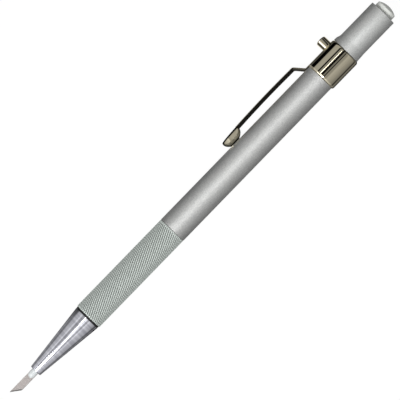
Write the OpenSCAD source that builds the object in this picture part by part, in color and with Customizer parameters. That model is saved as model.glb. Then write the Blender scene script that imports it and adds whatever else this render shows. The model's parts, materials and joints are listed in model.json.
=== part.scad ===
// Retractable craft knife of the pen kind: a push button at the tail drives the blade out through
// the nose cone, a spring leaf latches it, and the small button on the clip band lets it spring back.
// The knife is drawn with the blade out and latched. It lies on its clip band and the edge of its
// clip, with +X towards the push button, +Y towards the clip and +Z up from the table.

/* [Barrel] */
// Outside diameter of the barrel and of the knurl's crests
barrel_d = 8; // [7.8:0.1:9]
// Wall of the barrel tube
barrel_wall = 0.6; // [0.45:0.05:0.7]
// Length of the barrel tube, from the grip to the rear edge of the clip band
barrel_l = 64.4; // [58:0.2:76]
// Length of the tail barrel behind the clip band
tail_l = 13.9; // [13:0.1:18]
// Length of the taper behind the clip band, from the barrel's size to the tail's
taper_l = 2.6; // [2.5:0.1:3.5]
// How much slimmer the tail is than the barrel, on the radius
tail_relief = 0.155; // [0.1:0.005:0.2]
// Height of the pressed stop that holds the clip band
stop_h = 0.35; // [0.2:0.05:0.5]
// Length of the pressed stop
stop_l = 2.2; // [1.8:0.1:2.4]
// Length of the bush in the end of the tail
bush_l = 2; // [1.5:0.1:3]

/* [Grip] */
// Length of the knurled grip
grip_l = 31.1; // [28:0.1:36]
// Helical cuts of the knurl in each direction
knurl_starts = 40; // [30:1:44]
// Distance from one knurl diamond to the next along the grip
knurl_pitch = 1.2; // [1.1:0.05:1.8]
// Depth of the knurl
knurl_depth = 0.12; // [0.06:0.01:0.16]
// Plain rim at each end of the knurl
rim_l = 0.45; // [0.3:0.05:0.8]

/* [Nose] */
// Length of the nose cone
cone_l = 19.1; // [17.5:0.1:23]
// Diameter of the cone's front face
cone_tip_d = 3.3; // [3.1:0.1:3.8]
// How far the cone's base stands back from the barrel's surface
cone_step = 0.2; // [0.1:0.05:0.3]
// Length of the close bore in the cone's mouth
mouth_l = 2; // [1.5:0.1:3]
// Thickness of the seal ring behind the cone
seal_t = 0.5; // [0.4:0.05:0.8]
// Length of the thread that the cone screws on
thread_l = 4.5; // [3.5:0.1:5]
// Wall of the threaded spigot
spigot_wall = 0.55; // [0.45:0.05:0.65]

/* [Blade and chuck] */
// Width of the blade, and diameter of the chuck's nose
blade_w = 1.95; // [1.7:0.05:2.1]
// Thickness of the blade
blade_t = 0.4; // [0.3:0.05:0.5]
// Length of the blade with its tang
blade_l = 18; // [16:0.1:20]
// Length of blade that stands out of the chuck
blade_show = 6.3; // [5:0.1:7]
// Length along the knife of the slanted cutting edge
edge_l = 2.5; // [2:0.1:3.5]
// Width of the ground bevel on the cutting edge
bevel_w = 0.35; // [0.2:0.05:0.5]
// Length of chuck that stands out of the cone
chuck_show = 2.3; // [1.6:0.1:2.6]
// How far the blade's point draws in behind the cone's mouth
draw_in = 0.9; // [0.4:0.1:1.5]
// Length of the chuck's body
chuck_l = 12; // [11:0.1:13]
// Diameter of the ring that closes the chuck's jaws
chuck_ring_d = 2.6; // [2.4:0.1:2.8]
// Length of that ring
chuck_ring_l = 2; // [1.5:0.1:2.5]

/* [Carrier and spring] */
// Diameter of the carrier rod
rod_d = 3.2; // [3:0.1:3.4]
// Diameter of the rod's front pin, which sits in the chuck
rod_pin_d = 2.2; // [1.8:0.1:2.4]
// Length of the rod's front pin
rod_pin_l = 5; // [4:0.1:6]
// Length of the return spring while the blade is out
spring_l = 22; // [20:0.1:24]
// Wire of the return spring
wire_d = 0.45; // [0.35:0.05:0.5]
// Turns of the return spring
spring_turns = 13; // [10:1:15]
// Depth of the spring seat inside the front liner
seat_x = 6; // [5.5:0.1:7]
// Thickness of the cup behind the spring
cup_t = 1.5; // [1.2:0.1:2]
// Thickness of the retaining clip behind the cup
rod_clip_t = 0.6; // [0.5:0.05:0.8]
// Length of the rod guide
guide_l = 6; // [4:0.1:10]
// Wall of the front liner round the spring
liner_wall = 0.42; // [0.35:0.01:0.5]

/* [Latch and buttons] */
// Diameter of the release button
release_d = 3; // [2.6:0.1:3.2]
// Height of the release button above the clip band
release_show = 2.45; // [2:0.05:2.8]
// Distance from the release button's middle to the rear edge of the band
release_inset = 2.4; // [2.2:0.1:3]
// Travel of the release button
press = 0.7; // [0.5:0.05:0.75]
// Chamfer on the release button's top edge
release_chamfer = 0.25; // [0.1:0.05:0.4]
// Wall of the latch housing, in which the push button slides
housing_wall = 0.44; // [0.36:0.02:0.5]
// Width of the latch leaf
leaf_w = 2.2; // [1.8:0.1:2.4]
// Thickness of the latch leaf
leaf_t = 0.3; // [0.2:0.05:0.35]
// Length of the latch tooth
tooth_l = 1.4; // [1.2:0.1:1.5]
// Length of push button that stands out of the tail while the blade is out
push_show = 2.25; // [2:0.05:3]
// Height of the push button's domed end
dome_h = 0.85; // [0.6:0.05:1]

/* [Clip] */
// Thickness of the clip's sheet
sheet_t = 0.38; // [0.3:0.02:0.42]
// Length of the clip's band
band_l = 9.4; // [8.8:0.1:11]
// Radius of the band's rolled edges
band_edge = 0.8; // [0.5:0.05:1.2]
// Width of the clip's arm
arm_w = 3.2; // [2.8:0.1:3.6]
// Height of the arm's outer face above the axis, beside the band
arm_out = 6.9; // [6.6:0.1:7.4]
// Length of the clip in front of its band
clip_l = 30; // [26:0.2:36]
// Length of the flat root in front of the band, before the arm rises
root_l = 0.9; // [0.6:0.1:1.5]
// Run of the rising part along the knife
rise_l = 2.3; // [1.8:0.1:3]
// Length of the pressed foot at the end of the arm
foot_l = 6; // [5:0.1:7]
// Length of the foot's flat floor
foot_floor = 2.9; // [2.2:0.1:3.5]
// How much lower the arm lies at its foot
arm_fall = 0.3; // [0.1:0.05:0.4]
// How much lower the foot's rim lies at its front end
rim_fall = 0.75; // [0.4:0.05:0.9]

/* [Fits] */
// Radial room between pieces that are pressed or screwed together
fit_gap = 0.03; // [0.02:0.01:0.05]
// Radial room between pieces that slide
slide_gap = 0.08; // [0.05:0.01:0.1]

/* [Hidden] */
$fn = 96;
eps = 0.01;

// Small rooms and lips that follow from no other size
throat_room = 0.2;
throat_l = 2.5;
taper_lead = 0.6;
spring_room = 0.25;
coil_rings = 8;
stop_gap = 0.05;
groove_depth = 0.4;
cap_t = 1.5;
flange_lip = 0.5;
flange_t = 0.5;
flange_room = 0.04;
well_room = 0.15;
web_t = 0.3;
window_room = 0.6;
window_side = 0.2;
latch_play = 0.05;
tooth_room = 0.06;
leaf_room = 0.08;
leaf_lead = 0.3;
pad_l = 4;
pad_inset = 0.3;
flat_lead = 0.5;
flat_tail = 0.2;
press_room = 0.16;
rivet_d = 1;
rivet_head_d = 1.7;
rivet_head_t = 0.25;
rivet_depth = 1.2;
housing_lead = 1;
push_room = 0.6;
foot_gap = 0.05;

// Diameters
bore_d = barrel_d - 2 * barrel_wall;
inner_d = bore_d - 2 * fit_gap;
tail_d = barrel_d - 2 * tail_relief;
cone_base_d = barrel_d - 2 * cone_step;
spring_bore_d = inner_d - 2 * liner_wall;
spring_mean_d = spring_bore_d - 2 * spring_room - wire_d;
chuck_d = spring_mean_d - wire_d - 2 * spring_room;
mouth_d = blade_w + 2 * slide_gap;
guide_d = chuck_d + 2 * slide_gap;
thread_d = guide_d + 2 * spigot_wall;
throat_d = chuck_d + 2 * throat_room;
groove_d = rod_d - 2 * groove_depth;
coil_inner_d = (spring_mean_d - wire_d) * cos(180 / coil_rings);
push_bore_d = inner_d - 2 * housing_wall;
push_d = push_bore_d - 2 * slide_gap;
band_r = barrel_d / 2 + fit_gap + sheet_t;

// Stations along the knife, from the front face of the grip, with the tail on the plus side
seam = grip_l + barrel_l;
tail_end = seam + tail_l;
band_front = seam - band_l;
cone_back = -seal_t;
cone_front = cone_back - cone_l;
thread_front = cone_back - thread_l;
chuck_front = cone_front - chuck_show;
blade_tip = chuck_front - blade_show;
tang_end = blade_tip + blade_l;
travel = blade_show + chuck_show + draw_in;
chuck_body_front = thread_front - throat_l;
chuck_body_back = chuck_body_front + chuck_l;
throat = chuck_body_front - taper_lead;
spring_back = seat_x + spring_l;
rod_clip_front = spring_back + cup_t;
guide_front = rod_clip_front + rod_clip_t + travel + stop_gap;
release_x = seam - release_inset;
push_top = tail_end + push_show;
rod_back = push_top - dome_h - cap_t;

// Release button and latch, with heights above the axis on the clip's side
flange_r = release_d / 2 + flange_lip;
flange_top = sqrt(pow(bore_d / 2, 2) - pow(flange_r, 2)) - flange_room;
flange_low = flange_top - flange_t;
release_top = band_r + release_show;
well_r = flange_r + well_room;
window_front = release_x + well_r + web_t;
window_back = window_front + tooth_l + window_room;
tooth_back = window_back - latch_play;
tooth_top = sqrt(pow(bore_d / 2 - tooth_room, 2) - pow(leaf_w / 2, 2));
leaf_high = flange_low - leaf_room;
leaf_kink = window_front - leaf_lead;
flat_h = flange_low - press - press_room - rivet_head_t - leaf_t;
flat_front = release_x - flange_r - travel - flat_lead;
flat_back = tooth_back + flat_tail;
pad_front = flat_front + pad_inset;
rivet_x = pad_front + pad_l / 2;
housing_front = flat_front - housing_lead;
bush_front = tail_end - bush_l;
push_front = tooth_back + push_room;

// Clip arm, whose side view is a bent strip
clip_front = band_front - clip_l;
foot_back = clip_front + foot_l;
foot_out = arm_out - arm_fall;
foot_low = barrel_d / 2 + foot_gap;

// The knife rolls on its band until the clip's edge or the release button meets the table
function touch_angle(out, half_w) = asin(band_r / norm([out, half_w])) - atan2(half_w, out);
function reach_y(out, half_w) = out * cos(rest_roll) + half_w * sin(rest_roll);
corners = [
    [arm_out, arm_w / 2],
    [release_top, release_d / 2 - release_chamfer],
    [release_top - release_chamfer, release_d / 2]
];
rest_roll = min([for (c = corners) touch_angle(c[0], c[1])]);
clip_reach = max([for (c = corners) reach_y(c[0], c[1])]);

// Lays a piece of the knife on the table, with the middle of the whole knife over the origin
module lie_down() {
    translate([-(blade_tip + push_top) / 2, (band_r - clip_reach) / 2, band_r])
        rotate([-rest_roll, 0, 0])
            children();
}

// A turned piece, from an outline of [radius, station] points
module turned(points) {
    rotate([0, 90, 0])
        rotate_extrude()
            polygon(points);
}

// A straight tube between two stations
module tube(outer_d, inner_d, front, back) {
    turned([[inner_d / 2, front], [outer_d / 2, front], [outer_d / 2, back], [inner_d / 2, back]]);
}

// A round bar along the knife
module bar(d, front, back) {
    translate([front, 0, 0])
        rotate([0, 90, 0])
            cylinder(d = d, h = back - front);
}

// A round bar square to the knife on the clip's side, between two heights above the axis
module peg(d, low, high, x) {
    translate([x, low, 0])
        rotate([-90, 0, 0])
            cylinder(d = d, h = high - low);
}

// A side view in [station, height], carried across the knife
module across(w, points) {
    translate([0, 0, -w / 2])
        linear_extrude(w)
            polygon(points);
}

// An end view in [height, offset], carried along the knife
module along(front, back, points) {
    translate([front, 0, 0])
        multmatrix([[0, 0, 1, 0], [1, 0, 0, 0], [0, 1, 0, 0]])
            linear_extrude(back - front)
                polygon(points);
}

// The slanted edge is ground on both faces, so the full outline thins to its edge there
module blade() {
    edge_t = 0.03;
    low = -blade_w / 2;
    high = blade_w / 2;
    full = [[blade_tip, high], [blade_tip + edge_l, low], [tang_end, low], [tang_end, high]];
    shift = bevel_w * norm([edge_l, blade_w]) / blade_w;
    flat = [
        [blade_tip + shift, high],
        [blade_tip + edge_l + shift, low],
        [tang_end, low],
        [tang_end, high]
    ];
    color("#aca29f")
        hull() {
            across(edge_t, full);
            across(blade_t, flat);
        }
}

// The nose is split by the blade's slot, and its domed front closes on the blade
module blade_chuck() {
    nose_r = blade_w / 2;
    color("#d9dfe0")
        difference() {
            union() {
                translate([chuck_front + nose_r, 0, 0])
                    sphere(d = blade_w);
                bar(blade_w, chuck_front + nose_r, chuck_body_front);
                bar(chuck_d, chuck_body_front, chuck_body_back);
            }
            across(blade_t + 2 * fit_gap, [
                [chuck_front - eps, -blade_w],
                [chuck_front - eps, blade_w],
                [tang_end + fit_gap, blade_w],
                [tang_end + fit_gap, -blade_w]
            ]);
            bar(rod_pin_d + 2 * fit_gap, chuck_body_back - rod_pin_l - fit_gap, chuck_body_back + eps);
        }
}

// The ring sits over the end of the blade's tang and closes the two jaws on it
module chuck_ring() {
    color("#b9a064")
        tube(chuck_ring_d, blade_w + 2 * fit_gap, tang_end - chuck_ring_l, tang_end);
}

// The cone's bore is close at the mouth, tapers out round the chuck and ends in the thread's bore
module nose_cone() {
    edge = 0.2;
    color("#a9a6b2")
        turned([
            [mouth_d / 2, cone_front],
            [cone_tip_d / 2 - edge, cone_front],
            [cone_tip_d / 2, cone_front + edge],
            [cone_base_d / 2, cone_back],
            [thread_d / 2 + fit_gap, cone_back],
            [thread_d / 2 + fit_gap, thread_front - fit_gap],
            [throat_d / 2, thread_front - fit_gap],
            [throat_d / 2, throat],
            [mouth_d / 2, cone_front + mouth_l]
        ]);
}

// The ring has a half-round outer edge and is trapped between the cone and the grip
module nose_seal() {
    inner_r = thread_d / 2 + slide_gap;
    round_r = seal_t / 2;
    outer_r = cone_base_d / 2;
    color("#17181a")
        rotate([0, 90, 0])
            rotate_extrude()
                union() {
                    translate([inner_r, -seal_t])
                        square([outer_r - round_r - inner_r, seal_t]);
                    translate([outer_r - round_r, -round_r])
                        circle(r = round_r);
                }
}

// The liner carries the cone's thread, guides the chuck and holds the spring
module front_liner() {
    color("#b59a5b")
        turned([
            [guide_d / 2, thread_front],
            [thread_d / 2, thread_front],
            [thread_d / 2, 0],
            [inner_d / 2, 0],
            [inner_d / 2, guide_front],
            [spring_bore_d / 2, guide_front],
            [spring_bore_d / 2, seat_x],
            [guide_d / 2, seat_x]
        ]);
}

// Crests and roots alternate round each ring and from ring to ring, and the faces between fold along
// the lines that join the roots, which makes a field of four-sided diamonds
module grip() {
    sides = 2 * knurl_starts;
    rows = 2 * floor((grip_l - 2 * rim_l) / knurl_pitch);
    row_l = (grip_l - 2 * rim_l) / rows;
    crest_r = barrel_d / 2;
    root_r = crest_r - knurl_depth;
    stations = [0, for (j = [0 : rows]) rim_l + j * row_l, grip_l];
    last = len(stations) - 1;
    points = [
        for (j = [0 : last], i = [0 : sides - 1])
            let (
                crest = j > 1 && j < last - 1 && (i + j) % 2 == 0,
                r = crest ? crest_r : root_r,
                turn = 360 * i / sides
            )
            [stations[j], r * cos(turn), r * sin(turn)]
    ];
    function at(i, j) = j * sides + i % sides;
    faces = [
        [for (i = [0 : sides - 1]) at(i, 0)],
        [for (i = [sides - 1 : -1 : 0]) at(i, last)],
        for (j = [0 : last - 1], i = [0 : sides - 1], half = [0, 1])
            let (a = at(i, j), b = at(i + 1, j), c = at(i + 1, j + 1), d = at(i, j + 1))
            (i + j) % 2 == 0
                ? (half == 0 ? [a, d, b] : [b, d, c])
                : (half == 0 ? [a, c, b] : [a, d, c])
    ];
    color("#9ea69f")
        difference() {
            polyhedron(points, faces);
            bar(bore_d, -1, grip_l + 1);
        }
}

module barrel() {
    edge = 0.1;
    color("#a5a7a7")
        difference() {
            turned([
                [bore_d / 2, grip_l],
                [barrel_d / 2 - edge, grip_l],
                [barrel_d / 2, grip_l + edge],
                [barrel_d / 2, seam],
                [bore_d / 2, seam]
            ]);
            peg(release_d + 2 * slide_gap, 0, barrel_d, release_x);
        }
}

// One wire wound in a helix: six-sided rings set in planes through the axis
module return_spring() {
    wire_sides = 6;
    end_gap = 0.02;
    last = spring_turns * coil_rings;
    first_x = seat_x + wire_d / 2 + end_gap;
    rise = spring_l - wire_d - 2 * end_gap;
    points = [
        for (k = [0 : last], s = [0 : wire_sides - 1])
            let (
                turn = 360 * k / coil_rings,
                lean = 360 * s / wire_sides,
                r = spring_mean_d / 2 + wire_d / 2 * cos(lean)
            )
            [first_x + rise * k / last + wire_d / 2 * sin(lean), r * cos(turn), r * sin(turn)]
    ];
    function at(k, s) = k * wire_sides + s % wire_sides;
    faces = [
        [for (s = [wire_sides - 1 : -1 : 0]) at(0, s)],
        [for (s = [0 : wire_sides - 1]) at(last, s)],
        for (k = [0 : last - 1], s = [0 : wire_sides - 1], half = [0, 1])
            half == 0
                ? [at(k, s), at(k, s + 1), at(k + 1, s)]
                : [at(k, s + 1), at(k + 1, s + 1), at(k + 1, s)]
    ];
    echo(spring_gap = rise / spring_turns - wire_d);
    color("#8d9093")
        polyhedron(points, faces);
}

// The rod has a pin for the chuck, a groove for its retaining clip and a flat under the latch leaf
module carrier_rod() {
    color("#9b9ea1")
        difference() {
            union() {
                bar(rod_pin_d, chuck_body_back - rod_pin_l, chuck_body_back + eps);
                bar(rod_d, chuck_body_back, rod_back);
            }
            tube(rod_d + 1, groove_d, rod_clip_front, rod_clip_front + rod_clip_t);
            across(rod_d + 1, [
                [flat_front, flat_h],
                [flat_back, flat_h],
                [flat_back, rod_d],
                [flat_front, rod_d]
            ]);
            peg(rivet_d + 2 * fit_gap, flat_h - rivet_depth - fit_gap, rod_d, rivet_x);
        }
}

// The cup's boss centres the spring on the rod
module spring_cup() {
    boss_l = 1.2;
    boss_d = coil_inner_d - 2 * slide_gap;
    cup_d = spring_bore_d - 4 * slide_gap;
    color("#b9a064")
        turned([
            [rod_d / 2 + fit_gap, spring_back - boss_l],
            [boss_d / 2, spring_back - boss_l],
            [boss_d / 2, spring_back],
            [cup_d / 2, spring_back],
            [cup_d / 2, rod_clip_front],
            [rod_d / 2 + fit_gap, rod_clip_front]
        ]);
}

// The retaining clip is a flat ring, open on one side, in the rod's groove
module rod_clip() {
    mouth = 0.8 * groove_d;
    lip = 0.8;
    color("#6f7174")
        difference() {
            tube(
                rod_d + 2 * lip,
                groove_d + 2 * fit_gap,
                rod_clip_front + stop_gap / 2,
                rod_clip_front + rod_clip_t - stop_gap / 2
            );
            across(mouth, [
                [rod_clip_front - 1, 0],
                [rod_clip_front + 2, 0],
                [rod_clip_front + 2, rod_d * 2],
                [rod_clip_front - 1, rod_d * 2]
            ]);
        }
}

module rod_guide() {
    color("#b9a064")
        tube(inner_d, rod_d + 2 * slide_gap, guide_front, guide_front + guide_l);
}

// The housing joins the two barrels, with a well for the release button and the latch's window
module latch_housing() {
    window_w = leaf_w + 2 * window_side;
    color("#b59a5b")
        difference() {
            tube(inner_d, push_bore_d, housing_front, bush_front);
            peg(2 * well_r, 0, barrel_d, release_x);
            across(window_w, [
                [window_front, 0],
                [window_back, 0],
                [window_back, barrel_d],
                [window_front, barrel_d]
            ]);
        }
}

// A spring leaf, riveted to the rod's flat, that rises to the tooth in the housing's window
module latch_leaf() {
    pad_back = pad_front + pad_l;
    pad_high = flat_h + leaf_t;
    tooth_front = tooth_back - tooth_l;
    leaf_low = leaf_high - leaf_t;
    color("#7d8186")
        difference() {
            across(leaf_w, [
                [pad_front, flat_h],
                [pad_back, flat_h],
                [leaf_kink, leaf_low],
                [tooth_back, leaf_low],
                [tooth_back, tooth_top],
                [tooth_front, tooth_top],
                [leaf_kink, leaf_high],
                [pad_back, pad_high],
                [pad_front, pad_high]
            ]);
            peg(rivet_d + 2 * fit_gap, 0, pad_high + 1, rivet_x);
        }
}

module latch_rivet() {
    head_low = flat_h + leaf_t;
    color("#a7a9ab")
        union() {
            peg(rivet_d, flat_h - rivet_depth, head_low + eps, rivet_x);
            peg(rivet_head_d, head_low, head_low + rivet_head_t, rivet_x);
        }
}

// A plain round button with a flange that stays inside the barrel
module release_button() {
    color("#c9c6bd")
        union() {
            peg(2 * flange_r, flange_low, flange_top, release_x);
            peg(release_d, flange_low + eps, release_top - release_chamfer, release_x);
            translate([release_x, release_top - release_chamfer, 0])
                rotate([-90, 0, 0])
                    cylinder(
                        d1 = release_d,
                        d2 = release_d - 2 * release_chamfer,
                        h = release_chamfer
                    );
        }
}

// The band's section: a strip whose outer edges roll down to a thin land
module band() {
    inner_r = barrel_d / 2 + fit_gap;
    land = 0.08;
    drop = sheet_t - land;
    run = sqrt(2 * band_edge * drop - pow(drop, 2));
    rotate([0, 90, 0])
        rotate_extrude()
            translate([inner_r, band_front])
                union() {
                    translate([0, run])
                        square([sheet_t, band_l - 2 * run]);
                    for (y = [run, band_l - run])
                        intersection() {
                            translate([sheet_t - band_edge, y])
                                circle(r = band_edge);
                            square([sheet_t, band_l]);
                        }
                }
}

// The pressed foot: a boat with sloping ends and sides and a round front, drawn in by inset to make
// its hollow
module foot(inset, rise) {
    slope = (foot_l - foot_floor) / 2;
    low = foot_low + inset;
    rim_front = foot_out - rim_fall;
    half_top = arm_w / 2 - inset;
    half_low = arm_w / 4 - inset / 2;
    round_x = clip_front + arm_w / 2;
    intersection() {
        across(arm_w, [
            [clip_front + inset, rim_front + rise],
            [clip_front + inset, rim_front - sheet_t],
            [clip_front + slope + inset, low],
            [foot_back - slope - inset, low],
            [foot_back - inset, foot_out - sheet_t],
            [foot_back - inset, foot_out + rise]
        ]);
        along(clip_front, foot_back, [
            [foot_out + rise, -half_top],
            [foot_out - sheet_t, -half_top],
            [low, -half_low],
            [low, half_low],
            [foot_out - sheet_t, half_top],
            [foot_out + rise, half_top]
        ]);
        union() {
            peg(2 * half_top, 0, foot_out + rise, round_x);
            across(2 * half_top, [
                [round_x, 0],
                [foot_back, 0],
                [foot_back, foot_out + rise],
                [round_x, foot_out + rise]
            ]);
        }
    }
}

// The strip rises from the band's front edge and runs forward to the pressed foot
module clip_arm() {
    root_front = band_front - root_l;
    root_low = barrel_d / 2 + fit_gap;
    root_high = band_r;
    bend = root_front - rise_l;
    overlap = 1;
    across(arm_w, [
        [band_front + overlap, root_low],
        [root_front - sheet_t / 2, root_low],
        [bend - sheet_t / 2, arm_out - sheet_t],
        [foot_back - sheet_t, foot_out - sheet_t],
        [foot_back - sheet_t, foot_out],
        [bend, arm_out],
        [root_front, root_high],
        [band_front + overlap, root_high]
    ]);
}

// Band, arm and foot are one pressed strip
module pocket_clip() {
    color("#b5b1a2")
        difference() {
            union() {
                band();
                difference() {
                    clip_arm();
                    bar(barrel_d + 2 * fit_gap, band_front - clip_l, seam);
                }
                difference() {
                    foot(0, 0);
                    foot(sheet_t, 1);
                }
            }
            peg(release_d + 2 * slide_gap, 0, barrel_d, release_x);
        }
}

// A slight taper with the stop pressed out of it, then the plain tail
module tail_barrel() {
    edge = 0.15;
    stop_r = (pow(stop_l / 2, 2) + pow(stop_h, 2)) / (2 * stop_h);
    color("#abadad")
        difference() {
            union() {
                turned([
                    [0, seam],
                    [barrel_d / 2, seam],
                    [tail_d / 2, seam + taper_l],
                    [tail_d / 2, tail_end - edge],
                    [tail_d / 2 - edge, tail_end],
                    [0, tail_end]
                ]);
                intersection() {
                    translate([seam + stop_l / 2, barrel_d / 2 + stop_h - stop_r, 0])
                        sphere(r = stop_r);
                    bar(barrel_d + 2, seam, seam + taper_l);
                }
            }
            bar(bore_d, seam - 1, tail_end + 1);
        }
}

module tail_bush() {
    color("#b0b2b2")
        tube(inner_d, push_bore_d, bush_front, tail_end);
}

// A cap with a domed end, bored for the rod
module push_button() {
    shoulder = push_top - dome_h;
    dome_r = (pow(push_d / 2, 2) + pow(dome_h, 2)) / (2 * dome_h);
    color("#cfd2cd")
        difference() {
            rotate([0, 90, 0])
                rotate_extrude()
                    union() {
                        translate([0, push_front])
                            square([push_d / 2, shoulder - push_front]);
                        intersection() {
                            translate([0, push_top - dome_r])
                                circle(r = dome_r);
                            translate([0, shoulder])
                                square([push_d / 2, dome_h]);
                        }
                    }
            bar(rod_d + 2 * fit_gap, push_front - 1, rod_back + fit_gap);
        }
}

lie_down() blade();
lie_down() blade_chuck();
lie_down() chuck_ring();
lie_down() nose_cone();
lie_down() nose_seal();
lie_down() front_liner();
lie_down() grip();
lie_down() barrel();
lie_down() return_spring();
lie_down() carrier_rod();
lie_down() spring_cup();
lie_down() rod_clip();
lie_down() rod_guide();
lie_down() latch_housing();
lie_down() latch_leaf();
lie_down() latch_rivet();
lie_down() release_button();
lie_down() pocket_clip();
lie_down() tail_barrel();
lie_down() tail_bush();
lie_down() push_button();
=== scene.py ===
"""Retractable craft knife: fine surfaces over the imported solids, their finishes and a white studio."""
import json

import bmesh
import bpy
import numpy as np
from mathutils import Matrix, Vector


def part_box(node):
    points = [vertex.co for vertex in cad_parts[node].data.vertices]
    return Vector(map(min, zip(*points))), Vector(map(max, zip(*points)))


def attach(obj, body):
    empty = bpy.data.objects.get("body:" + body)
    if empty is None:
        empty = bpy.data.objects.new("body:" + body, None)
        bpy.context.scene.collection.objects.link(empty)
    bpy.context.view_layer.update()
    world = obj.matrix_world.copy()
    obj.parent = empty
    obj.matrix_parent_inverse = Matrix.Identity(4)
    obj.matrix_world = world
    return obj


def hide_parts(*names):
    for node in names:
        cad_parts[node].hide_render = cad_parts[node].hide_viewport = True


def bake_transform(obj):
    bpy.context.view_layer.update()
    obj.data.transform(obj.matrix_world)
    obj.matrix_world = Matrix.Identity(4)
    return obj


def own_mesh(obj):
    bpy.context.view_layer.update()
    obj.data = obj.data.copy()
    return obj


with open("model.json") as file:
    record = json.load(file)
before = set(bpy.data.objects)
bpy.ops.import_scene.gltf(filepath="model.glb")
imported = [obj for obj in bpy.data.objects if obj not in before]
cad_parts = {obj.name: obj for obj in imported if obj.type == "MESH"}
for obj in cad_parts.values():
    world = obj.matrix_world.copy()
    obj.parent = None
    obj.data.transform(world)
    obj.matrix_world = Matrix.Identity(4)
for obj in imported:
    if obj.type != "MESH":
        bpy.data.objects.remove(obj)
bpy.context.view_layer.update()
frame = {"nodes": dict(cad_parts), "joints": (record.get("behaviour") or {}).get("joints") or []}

MM = 0.001
TURN = 2 * np.pi

# Where the knife lies: the grip's front face on the barrel's axis, with the clip's side as "out"
release_joint = next(j for j in frame["joints"] if j["name"] == "release_press")
barrel_low, barrel_high = (np.array(corner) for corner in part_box("barrel"))
start = np.array([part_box("grip")[0][0], *((barrel_low + barrel_high) / 2)[1:]])
along = np.array([1.0, 0.0, 0.0])
out = -np.array(release_joint["axis"])
side = np.cross(along, out)


def span(node):
    """A node's front and back stations, in millimetres behind the grip's front face."""
    low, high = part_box(node)
    return (low[0] - start[0]) / MM, (high[0] - start[0]) / MM


def half_height(node):
    """Half of a node's height above the table, which is the radius of a turned piece."""
    low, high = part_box(node)
    return (high[2] - low[2]) / 2 / MM


def lay(station, height, offset):
    """Points of the knife's own frame, in millimetres along, out and sideways, laid on the table."""
    station, height, offset = np.broadcast_arrays(station, height, offset)
    ways = station[..., None] * along + height[..., None] * out + offset[..., None] * side
    return start + MM * ways


def around(station, radius, angle):
    """Points at a distance from the knife's axis and at an angle round it from the clip's side."""
    return lay(station, radius * np.cos(angle), radius * np.sin(angle))


# Sizes that the frame doesn't give, in millimetres: tubes, fits and edges
barrel_r = half_height("barrel")
tube_wall = 0.6
bore_r = barrel_r - tube_wall
fit_gap = 0.03
slide_gap = 0.08
edge_round = 0.06

# Nose
cone_front, cone_back = span("nose_cone")
cone_tip_r = 1.65
thread_front, liner_back = span("front_liner")
thread_r = 2.63
thread_lead = 1.5
thread_starts = 2
thread_depth = 0.22
throat_r = 2.2
throat = -8.1
mouth_l = 2.0

# Grip and its knurl: starts round it, rows along it, and points across one diamond
grip_back = span("grip")[1]
knurl_starts = 40
knurl_rows = 50
knurl_fine = 8
knurl_depth = 0.2
knurl_crest = 1.35
knurl_rim = 0.45
left_share = 0.4

# Tail and push button
seam, tail_end = span("tail_barrel")
taper_l = 2.6
tail_fall = 0.155
tail_r = barrel_r - tail_fall
stop_h = 0.35
stop_l = 2.2
stop_w = 3.4
push_front, push_top = span("push_button")
push_r = half_height("push_button")
dome_h = 0.85
crown_t = 1.5
rod_r = 1.6
rod_back = push_top - dome_h - crown_t

# Clip: its band, arm and foot, and how much painted shade darkens its cut edges, rim, keel and front
band_l = 9.4
band_front = seam - band_l
sheet_t = 0.38
band_in = barrel_r + fit_gap
band_mid = band_in + sheet_t / 2
band_out = band_in + sheet_t
band_edge = 0.8
band_land = 0.08
band_seam = 0.05
arm_w = 3.2
arm_out = 6.9
arm_bow = 0.17
# Painted shade on the arm's cut edges, as a share of full dark
arm_cut_shade = 0.6
root_l = 0.9
rise_l = 2.3
clip_front = span("pocket_clip")[0]
foot_l = 6.0
foot_gap = 0.05
foot_low = barrel_r + foot_gap
foot_fall = 0.2
foot_out = arm_out - foot_fall
foot_lead = 0.7
foot_keel = 0.2
rim_fall = 0.35
# Painted shade on the foot: the bands of its rise that are darkened at the keel and the rim, and how far the
# front's shade weakens as it rises
keel_shade = 0.10, 0.22
rim_shade = 0.77, 0.81
front_shade = 0.5

# Release button and latch leaf
release_r = 1.5
release_h = 2.45
release_back = 2.4
release_x = seam - release_back
release_top = band_out + release_h
press = release_joint["range_m"][1] / MM
flange_lip = 0.5
flange_t = 0.5
flange_gap = 0.04
flange_r = release_r + flange_lip
flange_top = np.sqrt(bore_r ** 2 - flange_r ** 2) - flange_gap
flange_low = flange_top - flange_t
leaf_w = 2.2
leaf_t = 0.3
leaf_high = flange_low - slide_gap
pad_l = 4.0
pad_gap = 0.41
pad_low = flange_low - press - pad_gap - leaf_t
tooth_l = 1.4
tooth_gap = 0.06
tooth_top = np.sqrt((bore_r - tooth_gap) ** 2 - (leaf_w / 2) ** 2)

# Blade and spring
blade_tip, tang_end = span("blade")
blade_r = 0.975
blade_t = 0.4
edge_l = 2.5
bevel_w = 0.35
spring_front, spring_back = span("return_spring")
spring_turns = 13
wire_r = 0.225
spring_r = half_height("return_spring") - wire_r


def unit(ways):
    """Vectors of length one along the last axis."""
    return ways / np.linalg.norm(ways, axis=-1, keepdims=True)


def triangle(share):
    """A wave that is 1 at whole numbers, falls straight to 0 halfway and rises again."""
    return np.abs(share % 1 * 2 - 1)


def eased(share):
    """A share of 0 to 1 that starts and ends gently, as a cubic."""
    return share * share * (3 - 2 * share)


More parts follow.
